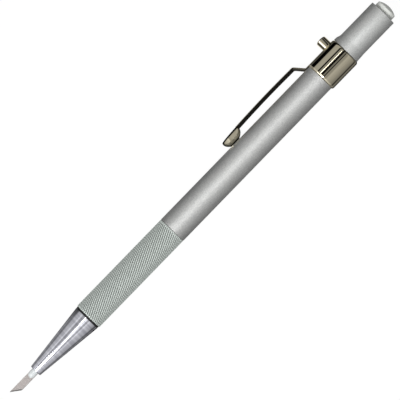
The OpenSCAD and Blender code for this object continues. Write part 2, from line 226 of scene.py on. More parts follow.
def rounded(corners, steps=5):
    """An outline with its corners rounded: each corner is (along, up, rounding), and its arc runs between
    the points where a circle of that radius touches the two sides."""
    corners = np.array(corners, float)
    point, radius = corners[:, :2], corners[:, 2:]
    to_last = unit(np.roll(point, 1, axis=0) - point)
    to_next = unit(np.roll(point, -1, axis=0) - point)
    half = np.arccos(np.clip((to_last * to_next).sum(1, keepdims=True), -1, 1)) / 2
    centre = point + unit(to_last + to_next) * radius / np.sin(half)
    first = point + to_last * radius / np.tan(half) - centre
    last = point + to_next * radius / np.tan(half) - centre
    turn = np.pi - 2 * half
    share = np.linspace(0, 1, steps + 1)[:, None, None]
    arc = (np.sin((1 - share) * turn) * first + np.sin(share * turn) * last) / np.sin(turn)
    return (centre + arc).transpose(1, 0, 2).reshape(-1, 2)


def dense(outline, gap):
    """An outline with points added evenly on each side that is longer than gap."""
    side_way = np.roll(outline, -1, axis=0) - outline
    count = np.maximum(1, np.ceil(np.linalg.norm(side_way, axis=1) / gap)).astype(int)
    corner = np.repeat(np.arange(len(outline)), count)
    share = (np.arange(count.sum()) - np.repeat(np.cumsum(count) - count, count)) / count[corner]
    return outline[corner] + share[:, None] * side_way[corner]


def circle(count):
    """Evenly spaced angles of one turn, without the last."""
    return np.arange(count) * TURN / count


def turned(outline, count=128):
    """An outline of (station, radius) turned about the knife's axis."""
    return around(outline[:, :1], outline[:, 1:], circle(count))


def turned_out(outline, station, count=64):
    """An outline of (height, radius) turned about a line that leaves the knife towards the clip."""
    angle = circle(count)
    height, radius = outline[:, :1], outline[:, 1:]
    return lay(station + radius * np.cos(angle), height, radius * np.sin(angle))


def capped(grid):
    """A grid of rings whose first and last ring are closed to their middles."""
    return np.concatenate([
        np.broadcast_to(grid[:1].mean(1, keepdims=True), grid[:1].shape),
        grid,
        np.broadcast_to(grid[-1:].mean(1, keepdims=True), grid[-1:].shape),
    ])


def faces_of(grid, loop):
    """Quads between neighbouring rings of a grid: the last column joins the first, and with loop the last
    ring joins the first. They are turned so that the volume they enclose is positive."""
    rows, columns = grid.shape[:2]
    index = np.arange(rows * columns).reshape(rows, columns)
    low = index if loop else index[:-1]
    high = np.roll(index, -1, axis=0) if loop else index[1:]
    quads = np.stack([low, np.roll(low, -1, axis=1), np.roll(high, -1, axis=1), high], axis=-1)
    quads = quads.reshape(-1, 4)
    a, b, c, d = (grid.reshape(-1, 3)[quads[:, k]] - grid.mean((0, 1)) for k in range(4))
    volume = (a * np.cross(b, c)).sum() + (a * np.cross(c, d)).sum()
    return quads if volume > 0 else quads[:, ::-1]


def piece(name, grids, body, material, stands_for, crease=40, bend=None, shade=None):
    """One object from closed grids: (points, loop) pairs. Points that coincide at poles are joined, and
    edges sharper than crease degrees stay sharp. Bend gives the true outward way at some of the points, and
    the last argument how much painted shade darkens each point. A piece without a body is attached to none."""
    same_place = 1e-8
    points, faces, count = [], [], 0
    for grid, loop in grids:
        points.append(grid.reshape(-1, 3))
        faces.append(faces_of(grid, loop) + count)
        count += len(points[-1])
    mesh = bpy.data.meshes.new(name)
    mesh.from_pydata(np.concatenate(points), [], np.concatenate(faces))
    if shade is not None:
        mesh.attributes.new("shade", "FLOAT", "POINT").data.foreach_set("value", shade)
    joined = bmesh.new()
    joined.from_mesh(mesh)
    bmesh.ops.remove_doubles(joined, verts=joined.verts, dist=same_place)
    joined.to_mesh(mesh)
    joined.free()
    mesh.polygons.foreach_set("use_smooth", np.ones(len(mesh.polygons), bool))
    mesh.set_sharp_from_angle(angle=np.radians(crease))
    if bend:
        places = np.empty(3 * len(mesh.vertices))
        corners = np.empty(len(mesh.loops), int)
        mesh.vertices.foreach_get("co", places)
        mesh.loops.foreach_get("vertex_index", corners)
        mesh.normals_split_custom_set(bend(places.reshape(-1, 3))[corners])
    mesh.materials.append(material)
    made = bpy.data.objects.new(name, mesh)
    bpy.context.scene.collection.objects.link(made)
    if body:
        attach(made, body)
    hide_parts(stands_for)
    return made


# Finishes: the broad noise in cells for each metre, and the values between which a noise mostly lies
broad = 260
noise_low, noise_high = 0.3, 0.7


def new_material(name):
    """An empty material and its shader tree, with a principled shader that reaches the output."""
    material = bpy.data.materials.new(name)
    material.use_nodes = True
    tree = material.node_tree
    return material, tree, tree.nodes["Principled BSDF"]


def noise(tree, scale, stretch=(1, 1, 1), detail=3):
    """Noise on the piece's own coordinates: scale is in cells for each metre, stretch scales the axes."""
    place = tree.nodes.new("ShaderNodeTexCoord")
    mapping = tree.nodes.new("ShaderNodeMapping")
    texture = tree.nodes.new("ShaderNodeTexNoise")
    mapping.inputs["Scale"].default_value = stretch
    texture.inputs["Scale"].default_value = scale
    texture.inputs["Detail"].default_value = detail
    tree.links.new(place.outputs["Object"], mapping.inputs["Vector"])
    tree.links.new(mapping.outputs["Vector"], texture.inputs["Vector"])
    return texture.outputs["Fac"]


def blend(tree, factor, low, high, first=noise_low, last=noise_high):
    """A ramp from one colour to another as a factor goes from first to last."""
    ramp = tree.nodes.new("ShaderNodeValToRGB")
    ramp.color_ramp.elements[0].position = first
    ramp.color_ramp.elements[1].position = last
    ramp.color_ramp.elements[0].color = (*low, 1)
    ramp.color_ramp.elements[1].color = (*high, 1)
    tree.links.new(factor, ramp.inputs["Fac"])
    return ramp.outputs["Color"]


def between(tree, factor, low, high):
    """A number that goes from low to high over the range of a noise."""
    ranged = tree.nodes.new("ShaderNodeMapRange")
    ranged.inputs["From Min"].default_value = noise_low
    ranged.inputs["From Max"].default_value = noise_high
    ranged.inputs["To Min"].default_value = low
    ranged.inputs["To Max"].default_value = high
    tree.links.new(factor, ranged.inputs["Value"])
    return ranged.outputs["Result"]


def relief(tree, shader, factor, depth):
    """A bump of a depth in metres."""
    bump = tree.nodes.new("ShaderNodeBump")
    bump.inputs["Strength"].default_value = 1
    bump.inputs["Distance"].default_value = depth
    tree.links.new(factor, bump.inputs["Height"])
    tree.links.new(bump.outputs["Normal"], shader.inputs["Normal"])


def metal(name, dark, light, rough, grain, stretch=(1, 1, 1), depth=2e-6, metallic=1.0):
    """A metal: a fine grain of so many cells a metre, stretched along its tool marks, takes it from a dark
    to a light colour and stands out by a depth in metres. Its roughness drifts over a broad noise."""
    material, tree, shader = new_material(name)
    drift = noise(tree, broad, detail=4)
    fine = noise(tree, grain, stretch)
    tree.links.new(blend(tree, fine, dark, light), shader.inputs["Base Color"])
    tree.links.new(between(tree, drift, *rough), shader.inputs["Roughness"])
    relief(tree, shader, fine, depth)
    shader.inputs["Metallic"].default_value = metallic
    return material


def knurled_satin():
    """Satin aluminium with painted shade in its grooves: it goes from dark in the grooves to light on the
    crests, by the distance from the knife's axis, with a fine grain."""
    # Painted shade: the colour deep in the grooves, far darker than on the crests
    groove_shade = 0.05, 0.056, 0.052
    crest = 0.68, 0.74, 0.70
    rough = 0.56, 0.64
    grain, depth = 7000, 4e-6
    material, tree, shader = new_material("knurl_satin")
    place = tree.nodes.new("ShaderNodeTexCoord")
    mapping = tree.nodes.new("ShaderNodeMapping")
    reach = tree.nodes.new("ShaderNodeVectorMath")
    height = tree.nodes.new("ShaderNodeMapRange")
    mapping.inputs["Location"].default_value = -start * (0, 1, 1)
    mapping.inputs["Scale"].default_value = (0, 1, 1)
    reach.operation = "LENGTH"
    height.inputs["From Min"].default_value = (barrel_r - knurl_depth) * MM
    height.inputs["From Max"].default_value = barrel_r * MM
    tree.links.new(place.outputs["Object"], mapping.inputs["Vector"])
    tree.links.new(mapping.outputs["Vector"], reach.inputs[0])
    tree.links.new(reach.outputs["Value"], height.inputs["Value"])
    colour = blend(tree, height.outputs["Result"], groove_shade, crest, first=0.1, last=0.9)
    tree.links.new(colour, shader.inputs["Base Color"])
    tree.links.new(between(tree, noise(tree, broad), *rough), shader.inputs["Roughness"])
    relief(tree, shader, noise(tree, grain), depth)
    shader.inputs["Metallic"].default_value = 0.2
    return material


def ground_steel():
    """Blade steel with fine grinding marks, and painted shade on the bevel: within its width of the cutting
    edge.
    """
    dark, light = (0.43, 0.395, 0.38), (0.49, 0.45, 0.435)
    # Painted shade: the bevel is coloured near black, as the shade that its slanted face catches
    bevel_shade = 0.09, 0.085, 0.082, 1
    bevel_full = 0.85 * bevel_w
    rough = 0.50, 0.58
    grain, depth = 9000, 2e-6
    material, tree, shader = new_material("blade_ground")
    place = tree.nodes.new("ShaderNodeTexCoord")
    from_edge = tree.nodes.new("ShaderNodeVectorMath")
    bevel = tree.nodes.new("ShaderNodeMapRange")
    mix = tree.nodes.new("ShaderNodeMix")
    inward = unit(2 * blade_r * along + edge_l * out)
    edge_at = lay(blade_tip, blade_r, 0) @ inward
    from_edge.operation = "DOT_PRODUCT"
    from_edge.inputs[1].default_value = inward
    bevel.inputs["From Min"].default_value = edge_at + bevel_full * MM
    bevel.inputs["From Max"].default_value = edge_at + bevel_w * MM
    mix.data_type = "RGBA"
    mix.inputs["A"].default_value = bevel_shade
    marks = noise(tree, grain, stretch=(1, 0.05, 0.05))
    tree.links.new(place.outputs["Object"], from_edge.inputs[0])
    tree.links.new(from_edge.outputs["Value"], bevel.inputs["Value"])
    tree.links.new(bevel.outputs["Result"], mix.inputs["Factor"])
    tree.links.new(blend(tree, marks, dark, light), mix.inputs["B"])
    tree.links.new(mix.outputs["Result"], shader.inputs["Base Color"])
    tree.links.new(between(tree, marks, *rough), shader.inputs["Roughness"])
    relief(tree, shader, marks, depth)
    shader.inputs["Metallic"].default_value = 0.3
    return material


def clip_plating():
    """Bright plating, darkened by painted shade where the piece's per-point attribute rises: on the arm's cut
    edges and on the foot's rim, keel and front."""
    # Painted shade: a near-black colour that stands in for dark reflections and the foot's shadow on the
    # barrel
    shade_dark = 0.015, 0.014, 0.012, 1
    material = metal(
        "clip_nickel", dark=(0.84, 0.77, 0.58), light=(0.92, 0.84, 0.64), rough=(0.02, 0.04),
        grain=3000, stretch=(0.1, 1, 1), depth=1e-7,
    )
    tree = material.node_tree
    shader = tree.nodes["Principled BSDF"]
    shade_attribute = tree.nodes.new("ShaderNodeAttribute")
    mix = tree.nodes.new("ShaderNodeMix")
    shade_attribute.attribute_name = "shade"
    mix.data_type = "RGBA"
    mix.inputs["B"].default_value = shade_dark
    bright = shader.inputs["Base Color"].links[0].from_socket
    tree.links.new(shade_attribute.outputs["Fac"], mix.inputs["Factor"])
    tree.links.new(bright, mix.inputs["A"])
    tree.links.new(mix.outputs["Result"], shader.inputs["Base Color"])
    return material


def seal_rubber():
    """Black rubber with a faint bloom and a fine moulded grain."""
    dark, light = (0.004, 0.004, 0.005), (0.012, 0.012, 0.013)
    rough = 0.45, 0.65
    depth = 6e-6
    material, tree, shader = new_material("seal_rubber")
    grain = noise(tree, scale=6000)
    bloom = noise(tree, scale=700)
    tree.links.new(blend(tree, bloom, dark, light), shader.inputs["Base Color"])
    tree.links.new(between(tree, grain, *rough), shader.inputs["Roughness"])
    relief(tree, shader, grain, depth)
    return material


satin = metal(
    "satin_tube", dark=(0.515, 0.52, 0.515), light=(0.67, 0.675, 0.66), rough=(0.56, 0.62),
    grain=3500, depth=4e-6, metallic=0.97,
)
# Painted light: a lighter copy of the barrel's satin, which makes up for the lamps' weaker light towards the
# tail
tail_satin_lit = metal(
    "tail_tube_lit", dark=(0.59, 0.60, 0.59), light=(0.765, 0.775, 0.76), rough=(0.56, 0.62),
    grain=3500, depth=4e-6, metallic=0.97,
)
push_satin = metal(
    "push_satin", dark=(0.79, 0.81, 0.77), light=(0.85, 0.87, 0.83), rough=(0.50, 0.60),
    grain=4000, depth=1e-6, metallic=0.15,
)
nose_nickel = metal(
    "nose_nickel", dark=(0.58, 0.585, 0.65), light=(0.86, 0.865, 0.93), rough=(0.05, 0.08),
    grain=1800, stretch=(1, 0.03, 0.03), depth=8e-7,
)
chuck_steel = metal(
    "chuck_steel", dark=(0.72, 0.755, 0.76), light=(0.78, 0.815, 0.82), rough=(0.50, 0.60),
    grain=6000, stretch=(1, 0.1, 0.1), metallic=0.1,
)
rod_steel = metal(
    "rod_steel", dark=(0.50, 0.51, 0.53), light=(0.62, 0.63, 0.65), rough=(0.22, 0.32),
    grain=6000, stretch=(0.05, 1, 1),
)
spring_wire = metal(
    "spring_wire", dark=(0.34, 0.35, 0.37), light=(0.46, 0.47, 0.49), rough=(0.24, 0.34),
    grain=8000,
)
brass = metal(
    "turned_brass", dark=(0.52, 0.38, 0.16), light=(0.66, 0.50, 0.24), rough=(0.22, 0.32),
    grain=5000, stretch=(1, 0.03, 0.03),
)
knurl = knurled_satin()
clip_nickel = clip_plating()
blade_steel = ground_steel()
rubber = seal_rubber()


def nose_cone():
    """The cone's section, turned: mouth, cone, base, threaded bore, throat and tapered lead."""
    tip_round, base_round, throat_round, lead_round = 0.18, 0.05, 0.3, 0.2
    inside_r = thread_r + fit_gap
    shoulder = thread_front - fit_gap
    mouth_r = blade_r + slide_gap
    section = rounded([
        (cone_front, mouth_r, edge_round),
        (cone_front, cone_tip_r, tip_round),
        (cone_back, half_height("nose_cone"), base_round),
        (cone_back, inside_r, edge_round),
        (shoulder, inside_r, edge_round),
        (shoulder, throat_r, edge_round),
        (throat, throat_r, throat_round),
        (cone_front + mouth_l, mouth_r, lead_round),
    ])
    grid = turned(section)
    piece("nose_cone_turned", [(grid, True)], "nose", nose_nickel, "nose_cone")


def nose_seal():
    """A flat ring whose outer edge is nearly a half circle, turned."""
    outer_r = half_height("nose_seal")
    inner_r = thread_r + slide_gap
    outer_round = 0.98 * -cone_back / 2
    section = rounded([
        (cone_back, inner_r, edge_round),
        (cone_back, outer_r, outer_round),
        (0, outer_r, outer_round),
        (0, inner_r, edge_round),
    ])
    grid = turned(section)
    piece("nose_seal_ring", [(grid, True)], "nose_ring", rubber, "nose_seal")


def front_liner():
    """The liner's section, turned, with a two-start thread on its spigot: there the radius falls by a
    triangle wave of the station less the share of a turn, steepened and cut off flat on the crests. The
    thread runs in and out."""
    columns, thread_rows = 96, 110
    thread_back = -0.02
    run_in, run_out = 0.4, 0.5
    thread_crest = 1.25
    guide_r = 2.08
    spring_wall = 0.42
    inner_r = bore_r - fit_gap
    spring_bore_r = inner_r - spring_wall
    angle = circle(columns)
    station = np.linspace(thread_front, thread_back, thread_rows)[:, None]
    wave = triangle((station / thread_lead - angle / TURN) * thread_starts)
    ends = np.clip((station - thread_front) / run_in, 0, 1) * np.clip(-station / run_out, 0, 1)
    radius = thread_r - thread_depth * (1 - np.clip(thread_crest * wave, 0, 1)) * ends
    spigot = around(station, radius, angle)
    rest = turned(np.array([
        (0, thread_r),
        (0, inner_r),
        (liner_back, inner_r),
        (liner_back, spring_bore_r),
        (spring_front, spring_bore_r),
        (spring_front, guide_r),
        (thread_front, guide_r),
    ]), columns)
    grid = np.concatenate([spigot, rest])
    piece("front_liner_threaded", [(grid, True)], "handle", brass, "front_liner")


def grip():
    """The knurled sleeve: two sets of helical grooves cross, and the height at a point is the lesser of the
    two waves there, which are steepened and cut off flat on the crests. The right-hand grooves are the
    deeper ones. Each end has a plain chamfered rim."""
    rim_drop, chamfer = 0.03, 0.12
    rim_r = barrel_r - rim_drop
    rows = knurl_fine // 2 * knurl_rows + 1
    angle = circle(knurl_fine * knurl_starts)
    station = np.linspace(knurl_rim, grip_back - knurl_rim, rows)[:, None]
    along_wave = (station - knurl_rim) / (grip_back - 2 * knurl_rim) * knurl_rows / 2
    round_wave = angle / TURN * knurl_starts
    right = np.clip(knurl_crest * triangle(round_wave + along_wave), 0, 1)
    left = np.clip(knurl_crest * triangle(round_wave - along_wave), 0, 1)
    height = np.minimum(right, 1 - left_share * (1 - left))
    cut = around(station, barrel_r - knurl_depth * (1 - height), angle)
    rim = np.array([(0, bore_r), (0, rim_r - chamfer), (chamfer, rim_r)])
    front = turned(rim, len(angle))
    back = turned((rim * (-1, 1) + (grip_back, 0))[::-1], len(angle))
    grid = np.concatenate([front, cut, back])
    piece("grip_knurled", [(grid, True)], "handle", knurl, "grip", crease=50)


def tail_barrel():
    """The tail's section, turned, with a stop pressed out on the clip's side: its height rises fast behind
    the band, falls slowly along the knife, and falls as a squared cosine round it."""
    columns, stop_rows = 160, 26
    stop_rise, stop_fall = 0.08, 0.55
    taper_round, end_round = 1.0, 0.08
    steps = 5
    angle = (circle(columns) + np.pi) % TURN - np.pi
    section = rounded([
        (seam, bore_r, edge_round),
        (seam, barrel_r, edge_round),
        (seam + taper_l, tail_r, taper_round),
        (tail_end, tail_r, end_round),
        (tail_end, bore_r, edge_round),
    ], steps)
    first_two = 2 * (steps + 1)
    fine = np.linspace(seam + 2 * edge_round, seam + stop_l + edge_round, stop_rows)
    wall = np.stack([fine, barrel_r - (fine - seam) / taper_l * tail_fall], axis=1)
    section = np.concatenate([section[:first_two], wall, section[first_two:]])
    station, radius = section[:, :1], section[:, 1:]
    behind = (station - seam) / stop_l
    profile = eased(np.clip(behind / stop_rise, 0, 1) * np.clip((1 - behind) / stop_fall, 0, 1))
    across = np.clip(np.abs(angle) * barrel_r / (stop_w / 2), 0, 1)
    outside = radius > tail_r - edge_round
    radius = radius + outside * stop_h * profile * np.cos(across * np.pi / 2) ** 2
    grid = around(station, radius, angle)
    piece("tail_barrel_tube", [(grid, True)], "handle", tail_satin_lit, "tail_barrel")


def push_button():
    """A cap with a shallow dome, which is a circular arc, and a bore for the rod, turned. The arc stops
    short of the cap's side, and a rounded corner takes it over."""
    dome_share = 0.93
    dome_rows = 24
    skirt_round, dome_round = 0.15, 0.30
    dome_r = (push_r ** 2 + dome_h ** 2) / (2 * dome_h)
    lean = np.linspace(np.arcsin(push_r / dome_r) * dome_share, 0, dome_rows)
    dome = np.stack([push_top - dome_r * (1 - np.cos(lean)), dome_r * np.sin(lean)], axis=1)
    bore = rod_r + fit_gap
    skirt = rounded([
        (rod_back, 0, 0),
        (rod_back, bore, edge_round),
        (push_front, bore, edge_round),
        (push_front, push_r, skirt_round),
        (push_top - dome_h, push_r, dome_round),
        (*dome[0], 0),
    ])
    grid = turned(np.concatenate([skirt, dome[1:]]))
    piece("push_button_cap", [(grid, False)], "carriage", push_satin, "push_button")


def release_button():
    """A round pin with a chamfered top and an inner flange, turned about a line out of the knife."""
    chamfer = 0.25
    chamfer_round = 0.15
    outline = rounded([
        (flange_low, 0, 0),
        (flange_low, flange_r, edge_round),
        (flange_top, flange_r, edge_round),
        (flange_top, release_r, edge_round),
        (release_top - chamfer, release_r, chamfer_round),
        (release_top, release_r - chamfer, chamfer_round),
        (release_top, 0, 0),
    ])
    grid = turned_out(outline, release_x)
    piece("release_button_pin", [(grid, False)], "release", clip_nickel, "release_button")


def latch_leaf():
    """A spring strip: a rounded rectangle carried along the knife, whose lower and upper faces go from the
    flat pad up a slope to the tooth."""
    kink_gap = 0.15
    soft = 0.02
    pad_front, tooth_back = span("latch_leaf")
    pad_back = pad_front + pad_l
    kink = release_x + flange_r + kink_gap
    tooth_front = tooth_back - tooth_l
    leaf_low = leaf_high - leaf_t
    profile = np.array([
        (pad_front, pad_low, pad_low + leaf_t),
        (pad_back, pad_low, pad_low + leaf_t),
        (kink, leaf_low, leaf_high),
        (tooth_front, leaf_low, leaf_high),
        (tooth_front, leaf_low, tooth_top),
        (tooth_back, leaf_low, tooth_top),
    ])
    station, low, high = profile.T[..., None]
    ring = rounded([(-0.5, 0, soft), (0.5, 0, soft), (0.5, 1, soft), (-0.5, 1, soft)], steps=3)
    grid = capped(lay(station, low + (high - low) * ring[:, 1], leaf_w * ring[:, 0]))
    leaf = piece("latch_leaf_spring", [(grid, False)], "carriage", spring_wire, "latch_leaf")
    anchor = lay(pad_front, pad_low, 0)
    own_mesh(leaf)


def band_grid():
    """The clip's band, unrolled round the button's hole: each point lies a share of the way from the hole's
    edge to the strip's edge, and is then rolled about the barrel. The outer face drops as a circle's arc
    near the strip's long edges, and the inner face runs back to the hole."""
    step = 0.24
    rows = 56
    half_wrap = np.pi * band_mid - band_seam / 2
    ahead, behind = release_x - band_front, seam - release_x
    long_run = np.arange(-half_wrap, half_wrap, step)
    short_run = np.arange(-ahead, behind, step)
    border = np.concatenate([
        np.stack([np.full_like(long_run, behind), long_run], axis=1),
        np.stack([-short_run + behind - ahead, np.full_like(short_run, half_wrap)], axis=1),
        np.stack([np.full_like(long_run, -ahead), -long_run], axis=1),
        np.stack([short_run, np.full_like(short_run, -half_wrap)], axis=1),
    ])
    hole = unit(border) * (release_r + slide_gap)
    share = np.sin(np.linspace(0, np.pi / 2, rows))[:, None, None]
    flat = hole + (border - hole) * share
    from_edge = np.minimum(flat[..., 0] + ahead, behind - flat[..., 0])
    drop = sheet_t - band_land
    run = np.sqrt(2 * band_edge * drop - drop ** 2)
    lean = np.clip(run - from_edge, 0, run)
    fall = band_edge - np.sqrt(band_edge ** 2 - lean ** 2)
    angle = flat[..., 1] / band_mid
    station = release_x + flat[..., 0]
    outer = around(station, band_out - fall, angle)
    inner = around(station, band_in, angle)
    return np.concatenate([outer, inner[::-1]])


def arm_grid():
    """The clip's arm: a thin rounded strip carried along its side view, which bows out a little as a sine.
    Its root is curved across like the band, and the curve fades out as the arm rises. The points on its cut
    edges carry painted shade, which darkens them."""
    band_lap, foot_lap = 1.2, 0.5
    bend_round, bend_steps = 0.55, 10
    path_rows = 90
    tiny = 1e-6
    draft, burr = 0.02, 0.09
    draft_round, burr_round = 0.02, 0.04
    across_gap = 0.1
    cut_share = 0.9
    root = band_front - root_l
    bend = root - rise_l
    foot_back = clip_front + foot_l
    half_t, half_w = sheet_t / 2, arm_w / 2
    path = rounded([
        (band_front + band_lap, band_mid, 0),
        (root - half_t / 2, band_mid, bend_round),
        (bend - half_t / 2, arm_out - half_t, bend_round),
        (foot_back - foot_lap, foot_out - half_t, 0),
    ], bend_steps)
    gaps = np.linalg.norm(np.diff(path, axis=0), axis=1)
    path = path[np.concatenate([[True], gaps > tiny])]
    reach = np.concatenate([[0], np.cumsum(np.linalg.norm(np.diff(path, axis=0), axis=1))])
    steps = np.unique(np.concatenate([reach, np.linspace(0, reach[-1], path_rows)]))
    path = np.stack([np.interp(steps, reach, path[:, k]) for k in range(2)], axis=1)
    free = np.clip((path[:, 0] - foot_back) / (bend - foot_back), 0, 1)
    path[:, 1] += arm_bow * np.sin(np.pi * free)
    way = unit(np.gradient(path, axis=0))
    normal = np.stack([way[:, 1], -way[:, 0]], axis=1)
    across = dense(rounded([
        (-half_w, -half_t, 0),
        (half_w, -half_t, 0),
        (half_w - draft, 0, draft_round),
        (half_w - burr, half_t, burr_round),
        (burr - half_w, half_t, burr_round),
        (draft - half_w, 0, draft_round),
    ], steps=4), across_gap)
    sag = band_mid - np.sqrt(band_mid ** 2 - across[:, 0] ** 2)
    curved = eased(np.clip((path[:, :1] - bend) / (root - bend), 0, 1))
    station = path[:, :1] + across[:, 1] * normal[:, :1]
    height = path[:, 1:] + across[:, 1] * normal[:, 1:] - sag * curved
    grid = capped(lay(station, height, across[:, 0]))
    # Painted shade on the points of the arm's cut edges
    shade = arm_cut_shade * (np.abs(across[:, 1]) < cut_share * half_t)
    return grid, np.broadcast_to(shade, grid.shape[:2])


def foot_grid():
    """The pressed foot: outlines that swell from a narrow keel to the rim, the inner ones drawn in by the
    sheet. An outline is a superellipse, squarer at its back than at its round front. Along the knife the
    outlines swell as a sine, so that the ends are blunt, and the keel lies ahead of the middle. The points
    near the keel and the rim carry painted shade, and so does the front low down. The wall's corners run from
    the keel over the rim to the floor inside, as shares of the full swell and rise."""
    columns = 128
    back_power, front_power = 0.45, 0.8
    swell_power = 0.8
    wall_gap = 0.05
    floor_t = 0.15
    lip_rise, lip_swell = 0.84, 0.84
    angle = circle(columns)
    middle = clip_front + foot_l / 2
    power = np.where(np.cos(angle) > 0, back_power, front_power)
    back, across = (np.sign(way) * np.abs(way) ** power for way in (np.cos(angle), np.sin(angle)))
    rim_h = foot_out - rim_fall * (1 - back) / 2
    wall = dense(rounded([
        (0, 0, 0),
        (foot_keel, 0, 0.03),
        (1.0, lip_rise, 0.02),
        (lip_swell, 1.0, 0.02),
        (0.76, 0.98, 0.02),
        (0.86, lip_rise, 0.04),
        (foot_keel, floor_t, 0.04),
        (0, floor_t, 0),
    ]), wall_gap)
    swell, rise = wall[:, :1], wall[:, 1:]
    blunt = np.sin(np.pi / 2 * swell ** swell_power)
    station = middle + foot_l / 2 * blunt * back - foot_lead * (1 - blunt)
    offset = arm_w / 2 * swell * across
    height = foot_low + (rim_h - foot_low) * rise
    # Painted shade: dark at the keel, as the shadow where the foot sits on the barrel, and at the rim, as a
    # dark reflection; the front is darkened low down, which damps its reflection onto the barrel
    edges = np.interp(rise, [*keel_shade, *rim_shade], [1, 0, 0, 1])
    shade = np.maximum(edges, (1 - front_shade * rise) * np.clip(-back, 0, 1))
    return lay(station, height, offset), np.broadcast_to(shade, height.shape)


def band_way(points):
    """The outward way on the band's plain face, straight from the axis, and none at the other points."""
    tiny = 1e-7
    ways = (points - start) * (0, 1, 1)
    reach = np.linalg.norm(ways, axis=1, keepdims=True)
    plain = np.abs(reach - band_out * MM) < tiny
    return np.where(plain, ways / reach, 0)


def pocket_clip():
    """Band, arm and foot of the pressed clip, as one object. The band is bright all over."""
    band = band_grid()
    arm, arm_shades = arm_grid()
    foot, foot_shades = foot_grid()
    bright = np.zeros(band.size // 3)
    piece(
        "pocket_clip_pressed", [(band, True), (arm, False), (foot, False)], "handle",
        clip_nickel, "pocket_clip", crease=35, bend=band_way,
        shade=np.concatenate([bright, arm_shades.ravel(), foot_shades.ravel()]),
    )


def blade():
    """The blade: its outline stands in layers through the thickness, and the outer layers are drawn back
    along the slanted edge by the width of the ground bevel."""
    fine = 0.03
    edge_half = 0.04
    low, high = -blade_r, blade_r
    full = np.array([(blade_tip, high), (blade_tip + edge_l, low), (tang_end, low), (tang_end, high)])
    shift = bevel_w * np.hypot(edge_l, 2 * blade_r) / (2 * blade_r)
    ground = full + np.array([(shift, 0), (shift, 0), (0, 0), (0, 0)])
    inner = ground + np.array([(fine, -fine), (fine, fine), (0, fine), (0, -fine)])
    layers = [
        (inner, -0.5),
        (ground, fine - 0.5),
        (full, -edge_half),
        (full, edge_half),
        (ground, 0.5 - fine),
        (inner, 0.5),
    ]
    rings = np.stack([lay(ring[:, 0], ring[:, 1], blade_t * level) for ring, level in layers])
    grid = capped(rings)
    piece("blade_strip", [(grid, False)], "carriage", blade_steel, "blade", crease=8)


def return_spring():
    """One wire wound in a helix: a circle in the plane through the axis, carried round and along."""
    turn_steps, wire_columns = 32, 12
    turn = np.linspace(0, spring_turns * TURN, spring_turns * turn_steps + 1)[:, None]
    lean = circle(wire_columns)
    rise = (spring_back - spring_front - 2 * wire_r) * turn / turn[-1]
    station = spring_front + wire_r + rise + wire_r * np.sin(lean)
    grid = capped(around(station, spring_r + wire_r * np.cos(lean), turn))
    coil = piece("return_spring_coil", [(grid, False)], None, spring_wire, "return_spring")
    front, back = (tuple(lay(end, 0, 0)) for end in (spring_front, spring_back))
    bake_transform(coil)


makers = (
    nose_cone, nose_seal, front_liner, grip, tail_barrel, push_button, release_button, latch_leaf,
    pocket_clip, blade, return_spring,
)
for make in makers:
    make()

# The solids that stay, with their finishes
kept = {
    "barrel": satin,
    "tail_bush": satin,
    "blade_chuck": chuck_steel,
    "chuck_ring": brass,
    "spring_cup": brass,
    "rod_guide": brass,
    "latch_housing": brass,
    "carrier_rod": rod_steel,
    "latch_rivet": rod_steel,
    "rod_clip": spring_wire,
}
for node, material in kept.items():
    frame["nodes"][node].data.materials.clear()
    frame["nodes"][node].data.materials.append(material)

# Camera: looks down on the knife, with the clip leaning a little away
view_lean = np.radians(13.5)
view_turn = np.radians(45.847)
view_width = 103.4 * MM
view_distance = 1.5
aim_up = 0.25 * MM
sensor_width = 36
towards = out * -np.sin(view_lean) + side * np.cos(view_lean)
upward = np.cross(towards, along)
right = np.cos(view_turn) * along - np.sin(view_turn) * upward
top = np.sin(view_turn) * along + np.cos(view_turn) * upward
aim = np.array([0, start[1], start[2]]) + aim_up * upward


def facing(place, across_way, up_way, back_way):
    """A matrix whose axes are the three ways, at a place."""
    matrix = np.eye(4)
    matrix[:3] = np.stack([across_way, up_way, back_way, place], axis=1)
    return Matrix(matrix.tolist())


camera = bpy.data.objects.new("camera", bpy.data.cameras.new("camera"))
camera.data.sensor_width = sensor_width
camera.data.lens = sensor_width * view_distance / view_width
camera.data.clip_end = 20
camera.matrix_world = facing(aim + view_distance * towards, right, top, towards)
bpy.context.scene.collection.objects.link(camera)
bpy.context.scene.camera = camera


def white_floor():
    """A pale table that a camera sees almost white, so that only a faint shadow stays."""
    size = 4.0
    pale = 0.88, 0.88, 0.88, 1
    white_share, white = 0.95, 1.02
    corner = np.array([(-1, -1, 0), (1, -1, 0), (1, 1, 0), (-1, 1, 0)]) * size / 2
    mesh = bpy.data.meshes.new("floor")
    mesh.from_pydata(corner, [], [(0, 1, 2, 3)])
    floor = bpy.data.objects.new("floor", mesh)
    bpy.context.scene.collection.objects.link(floor)
    material, tree, shader = new_material("floor_white")
    shader.inputs["Base Color"].default_value = pale
    shader.inputs["Roughness"].default_value = 1
    path = tree.nodes.new("ShaderNodeLightPath")
    share = tree.nodes.new("ShaderNodeMath")
    glow = tree.nodes.new("ShaderNodeEmission")
    mix = tree.nodes.new("ShaderNodeMixShader")
    share.operation = "MULTIPLY"
    share.inputs[1].default_value = white_share
    glow.inputs["Strength"].default_value = white
    tree.links.new(path.outputs["Is Camera Ray"], share.inputs[0])
    tree.links.new(share.outputs[0], mix.inputs[0])
    tree.links.new(shader.outputs[0], mix.inputs[1])
    tree.links.new(glow.outputs[0], mix.inputs[2])
    tree.links.new(mix.outputs[0], tree.nodes["Material Output"].inputs["Surface"])
    mesh.materials.append(material)
    floor.visible_glossy = False
    floor.visible_diffuse = False


white_floor()

